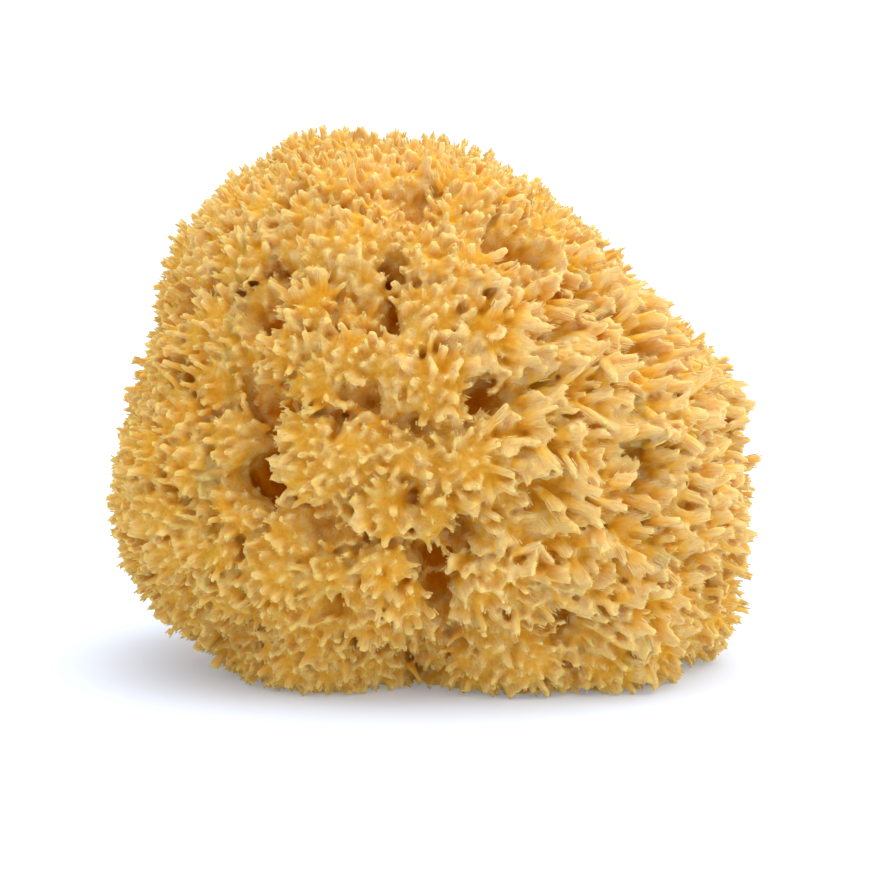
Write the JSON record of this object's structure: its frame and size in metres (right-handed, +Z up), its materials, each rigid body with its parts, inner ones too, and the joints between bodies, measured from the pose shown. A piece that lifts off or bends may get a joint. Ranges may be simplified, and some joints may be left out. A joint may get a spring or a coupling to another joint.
{
  "type": "sea sponge",
  "caption": "Natural wool sponge: a rounded, lumpy golden body with deep holes and a fleece of pointed tufts, cut flat underneath so that it rests on its base.",
  "frame": {"origin": "on the flat cut base, straight under the heart that the body grows out from", "axes": "+Z up out of the cut base, -Y the front that the picture shows, +X to its right"},
  "size_m": [0.1512, 0.1268, 0.1223],
  "materials": {
    "sponge": "matte"
  },
  "bodies": {
    "root": {"sponge": "sponge"}
  },
  "joints": []
}
